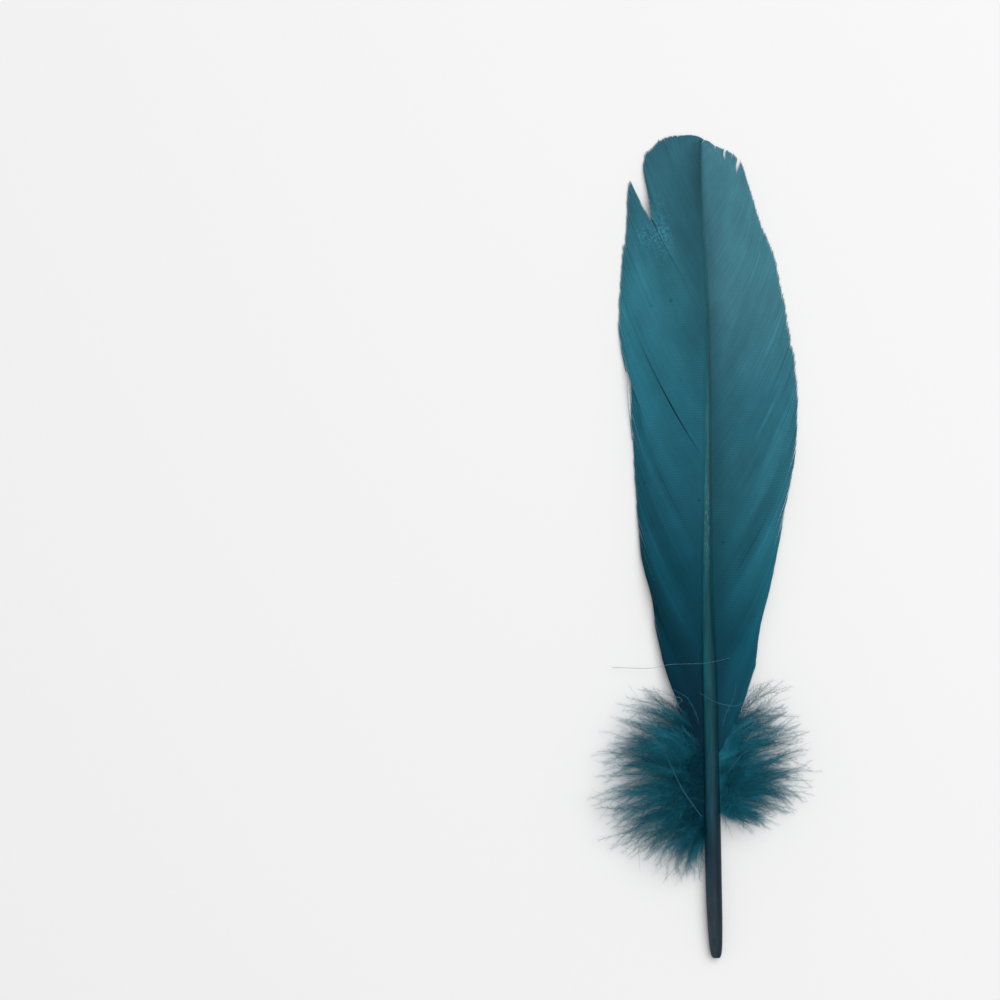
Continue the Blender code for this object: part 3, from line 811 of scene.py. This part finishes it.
def thread(side, root, length, heading, middle, tip, rng):
    """One downy barb's line, which sags, wanders and curls on its way out."""
    start = shaft_axis(root) + (side * 0.85 * along(SHAFT_RADIUS, root), 0, 0)
    share = np.linspace(0, 1, DOWN_STEPS + 1)
    curl = rng.normal(*DOWN_CURL)
    angle = np.radians(heading + curl * eased(0.35, 1.0, share))
    for least, most, strength in DOWN_WAVES:
        phase = rng.uniform()
        wave = np.sin(2 * math.pi * (rng.uniform(least, most) * share + phase))
        angle = angle + np.radians(strength * rng.uniform(0.4, 1.2)) * share**0.6 * wave
    step = length / DOWN_STEPS
    out = start[0] + side * np.concatenate([[0], np.cumsum(np.sin(angle[1:]) * step)])
    forward = start[1] + np.concatenate([[0], np.cumsum(np.cos(angle[1:]) * step)])
    rise = eased(0, 0.55, share) * (middle - start[2]) + eased(0.45, 1, share) * (tip - middle)
    high, least, most = DOWN_RIPPLES
    ripple = high * share * np.sin(2 * math.pi * (rng.uniform(least, most) * share + rng.uniform()))
    up = np.clip(start[2] + rise + ripple, DOWN_FLOOR, DOWN_CEILING)
    margin, room = DOWN_MARGINS
    beyond = np.maximum(side * out - (DOWN_SIDEWAYS[side > 0] - margin), 0)
    out = out - side * (beyond - room * (1 - np.exp(-beyond / room)))
    return np.stack([out, forward, up], 1)


def down_lines(side, layer, seed):
    """The lines of the downy barbs of one side's layers, and how pale each is."""
    rng = np.random.default_rng(seed)
    spacing, swing, uneven, lifted = TUFTS
    paleness, often = PALE_THREADS
    lines = []
    tones = []
    lowest, highest = DOWN_ROOT[side]
    last = DOWN_LAST[layer][side > 0]
    for density, reach, middle, tip in DOWN_LAYERS[layer]:
        tuft_at = np.arange(lowest - 2, highest + 2 * spacing, spacing)
        tufts = rng.normal(0, 1, (3, len(tuft_at)))
        for root in np.linspace(lowest, last, round(density * (last - lowest))):
            root = root + rng.uniform(-ROOT_SCATTER, ROOT_SCATTER)
            rise = np.clip((root - lowest) / (highest - lowest), 0, 1)
            fullness = along(DOWN_FULLNESS, rise)
            turn, stretch, lift = (np.interp(root, tuft_at, tuft) for tuft in tufts)
            length = DOWN_REACH[side] * reach * fullness * rng.uniform(DOWN_SHORTEST, 1)
            length *= min(1 + uneven * (stretch - 0.6), 1.05)
            heading = along(DOWN_HEADING[side], rise) + rng.normal(0, DOWN_SPREAD)
            heading += swing * DOWN_TUFTED[layer] * turn
            heights = [high + lifted * lift + rng.normal(0, HEIGHT_SCATTER) for high in (middle, tip)]
            tones.append(rng.choice((1 + TUFT_TONE * turn, paleness), p=(1 - often, often)))
            lines.append(thread(side, root, length, heading, *heights, rng))
    for its_side, root, length, heading, height in LONG_THREADS:
        if its_side == side and layer == "over":
            lines.append(thread(side, root, length, heading, height, height, rng))
            tones.append(SINGLE_TONE)
    if side < 0 and layer == "over":
        for tone, points in STRAYS:
            steps = np.linspace(0, len(points) - 1, DOWN_STEPS + 1)
            curve = [[along(tuple(enumerate(values)), step) for step in steps] for values in zip(*points)]
            lines.append(np.array(curve).T)
            tones.append(tone)
    return np.array(lines), np.array(tones)


DOWN_SIZES = {
    "Thread girth": 1.0, "Barbule spacing": 0.105 * MM, "Barbule length": 2.2 * MM,
    "Barbule girth": 0.033 * MM, "Bend low": 0.4 * MM, "Bend high": 8.9 * MM, "High room": 0.7 * MM,
}


def down_tree():
    """Threads along the edges, each set all round with fine spikes."""
    tree, inputs = new_tree("down", DOWN_SIZES)
    curve = node(tree, "GeometryNodeMeshToCurve", {0: inputs["Geometry"]}).outputs[0]
    section = node(tree, "GeometryNodeCurvePrimitiveCircle", {"Resolution": 3, "Radius": 1.0}, mode="RADIUS")
    thickness = math_node(tree, "MULTIPLY", inputs["Thread girth"], named(tree, "girth"))
    core = node(tree, "GeometryNodeCurveToMesh", {
        "Curve": curve, "Profile Curve": section.outputs[0], "Scale": thickness, "Fill Caps": True,
    }).outputs[0]
    points = node(tree, "GeometryNodeCurveToPoints", {"Curve": curve, "Length": inputs["Barbule spacing"]},
                  mode="LENGTH").outputs

    def chance(least, most, seed):
        return node(tree, "FunctionNodeRandomValue", {2: least, 3: most, "Seed": seed}).outputs[1]

    sideways = node(tree, "ShaderNodeVectorRotate", {
        "Vector": points["Normal"], "Axis": points["Tangent"], "Angle": chance(0, 2 * math.pi, 3),
    }).outputs[0]
    lean = scaled(tree, points["Tangent"], chance(0.5, 1.3, 4))
    aim = node(tree, "ShaderNodeVectorMath", {0: sideways, 1: lean}, operation="ADD").outputs[0]
    turned = node(tree, "FunctionNodeAlignRotationToVector", {"Vector": aim}, axis="Z").outputs[0]
    spike = node(tree, "GeometryNodeMeshCone", {
        "Vertices": 3, "Radius Top": 0.0, "Radius Bottom": inputs["Barbule girth"],
        "Depth": inputs["Barbule length"],
    }, fill_type="NGON").outputs[0]
    size = math_node(tree, "MULTIPLY", chance(0.55, 1.25, 5), named(tree, "fluff"))
    spikes = node(tree, "GeometryNodeInstanceOnPoints", {
        "Points": points["Points"], "Instance": spike, "Rotation": turned, "Scale": size,
    }).outputs[0]
    joined = node(tree, "GeometryNodeJoinGeometry")
    tree.links.new(core, joined.inputs[0])
    tree.links.new(spikes, joined.inputs[0])
    real = node(tree, "GeometryNodeRealizeInstances", {0: joined.outputs[0]}).outputs[0]

    def sum_of(operation, *numbers):
        return math_node(tree, operation, *numbers)

    # Spikes that would go through the table or past the pile's top bend over instead
    position = node(tree, "GeometryNodeInputPosition").outputs[0]
    place = node(tree, "ShaderNodeSeparateXYZ", {0: position}).outputs
    low, high, room = inputs["Bend low"], inputs["Bend high"], inputs["High room"]
    under = sum_of("MINIMUM", sum_of("SUBTRACT", place[2], low), 0.0)
    over = sum_of("MAXIMUM", sum_of("SUBTRACT", place[2], high), 0.0)
    below = sum_of("MULTIPLY", low, sum_of("EXPONENT", sum_of("DIVIDE", under, low)))
    above = sum_of("EXPONENT", sum_of("DIVIDE", sum_of("MULTIPLY", over, -1.0), room))
    above = sum_of("MULTIPLY", room, sum_of("SUBTRACT", 1.0, above))
    between = sum_of("MINIMUM", sum_of("MAXIMUM", place[2], low), high)
    height = sum_of("ADD", sum_of("ADD", sum_of("SUBTRACT", between, low), below), above)
    bent = node(tree, "ShaderNodeCombineXYZ", {0: place[0], 1: place[1], 2: height}).outputs[0]
    real = node(tree, "GeometryNodeSetPosition", {"Geometry": real, "Position": bent}).outputs[0]
    return finish_tree(tree, inputs, mapped(tree, real, chance(0.1, 0.9, 6)))


# Along each thread, from root to tip. On the left it is deep beside the quill, as painted shade where the
# pile lies in shadow, and paler further out; on the right it is pale beside the quill, as painted light on
# the lit side, and deeper further out
DOWN_COLORS = {
    -1: (
        (0.0, (0.003, 0.046, 0.076)), (0.14, (0.004, 0.055, 0.089)), (0.34, (0.007, 0.092, 0.136)),
        (0.7, (0.011, 0.120, 0.170)), (1.0, (0.018, 0.145, 0.197)),
    ),
    1: (
        (0.0, (0.020, 0.220, 0.310)), (0.14, (0.019, 0.205, 0.290)), (0.34, (0.014, 0.158, 0.224)),
        (0.7, (0.011, 0.124, 0.175)), (1.0, (0.018, 0.145, 0.197)),
    ),
}
BLEACHED = (0.16, 0.36, 0.40, 1)  # what the palest loose threads come near to


def down_material(side):
    """Dyed down: a deep blue green that changes along each thread, with painted shade near the quill on the
    left and painted light near it on the right, and no two threads quite alike.
    """
    material, shader = new_material("down_dye_and_painted_light_" + ("left" if side < 0 else "right"), 0.75, 0.05)
    tree = material.node_tree
    uv, parts = uv_parts(tree)
    color = ramp(tree, parts[0], DOWN_COLORS[side])
    threads = streaks(tree, uv, (1.5, 130, 1))
    place = node(tree, "ShaderNodeTexCoord").outputs["Object"]
    patches = streaks(tree, place, (300, 300, 300))
    color = lightened(tree, color, threads, 0.55, 1.75)
    color = lightened(tree, color, patches, 0.78, 1.3)
    tone = node(tree, "ShaderNodeAttribute", attribute_name="tone").outputs["Fac"]
    color = scaled(tree, color, tone)
    bleached = ranged(tree, tone, 1.2, 3.2, 0, 1)
    color = node(tree, "ShaderNodeMix", {0: bleached, 6: color, 7: BLEACHED}, data_type="RGBA").outputs[2]
    tree.links.new(color, shader.inputs["Base Color"])
    return material


downy = down_tree()
for side, name, layer in (
    (-1, "down_left_under", "under"), (1, "down_right_under", "under"),
    (-1, "down_left_over", "over"), (1, "down_right_over", "over"),
):
    lines, tones = down_lines(side, layer, 31 + side + 5 * (layer == "over"))
    share = np.linspace(0, 1, DOWN_STEPS + 1)
    row = (np.arange(len(lines)) + 0.1) / len(lines)
    fluff = np.minimum(0.5 + 2.5 * share, 1) * (1 - 0.6 * share**2)
    fluff = fluff[None, :] * np.interp(tones, *BARE_FROM)[:, None]
    thicker = np.where(tones > STRAY_TONE, STRAY_GIRTH, 1)[:, None]
    down = guide(name, lines, {
        "girth": THREAD_GIRTH * MM * (1 - THREAD_TAPER * share)[None, :] * thicker,
        "fluff": fluff,
        "tone": tones[:, None],
        "share": share[None, :],
        "row": row[:, None],
        "row_height": 0.8 / len(lines),
    })
    down = grown(down, downy, down_material(side), DOWN_SIZES)
    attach(down, "root")
    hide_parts("feather")

# ---------------------------------------------------------------------------------------------------------
# The table and the light: a pale matt sheet, one large soft lamp high on the right, and a pale room.
PIXEL = 180 * MM / 823  # of the photograph, at the feather
PHOTO_SIDE = 1000
PHOTO_QUILL_END = (716, 957)
PHOTO_MIDDLE = (500, 500)
CAMERA_HEIGHT = 0.9
CAMERA_SENSOR = 36
TABLE_GREY = 0.892
TABLE_DROP = 0.00005  # it lies this far below the feather, so that the two don't flicker
LAMP_SIZE, LAMP_POWER = 1.6, 22.5
LAMP_PLACE = (0.5, 0.4, 1.5)
LAMP_TURN = (-math.radians(15), math.radians(18), 0)
ROOM_LIGHT = 0.42

bpy.ops.mesh.primitive_plane_add(size=4, location=(0, 0, -TABLE_DROP))
table = bpy.context.object
table.name = "table"
pale, shader = new_material("pale_table", 0.8, 0.2)
shader.inputs["Base Color"].default_value = (TABLE_GREY, TABLE_GREY, TABLE_GREY, 1)
table.data.materials.append(pale)

camera = bpy.data.objects.new("camera", bpy.data.cameras.new("camera"))
bpy.context.scene.collection.objects.link(camera)
bpy.context.scene.camera = camera
camera.location = (
    shaft_axis(0)[0] * MM - (PHOTO_QUILL_END[0] - PHOTO_MIDDLE[0]) * PIXEL,
    QUILL_END + (PHOTO_QUILL_END[1] - PHOTO_MIDDLE[1]) * PIXEL,
    CAMERA_HEIGHT,
)
camera.data.sensor_width = CAMERA_SENSOR
camera.data.lens = CAMERA_SENSOR * CAMERA_HEIGHT / (PHOTO_SIDE * PIXEL)

lamp = bpy.data.objects.new("lamp", bpy.data.lights.new("lamp", "AREA"))
bpy.context.scene.collection.objects.link(lamp)
lamp.data.shape = "SQUARE"
lamp.data.size = LAMP_SIZE
lamp.data.energy = LAMP_POWER
lamp.location = LAMP_PLACE
lamp.rotation_euler = LAMP_TURN

world = bpy.data.worlds.new("room")
bpy.context.scene.world = world
world.use_nodes = True
glow = world.node_tree.nodes["Background"].inputs
glow["Color"].default_value = (1, 1, 1, 1)
glow["Strength"].default_value = ROOM_LIGHT
bpy.context.scene.view_settings.view_transform = "Standard"
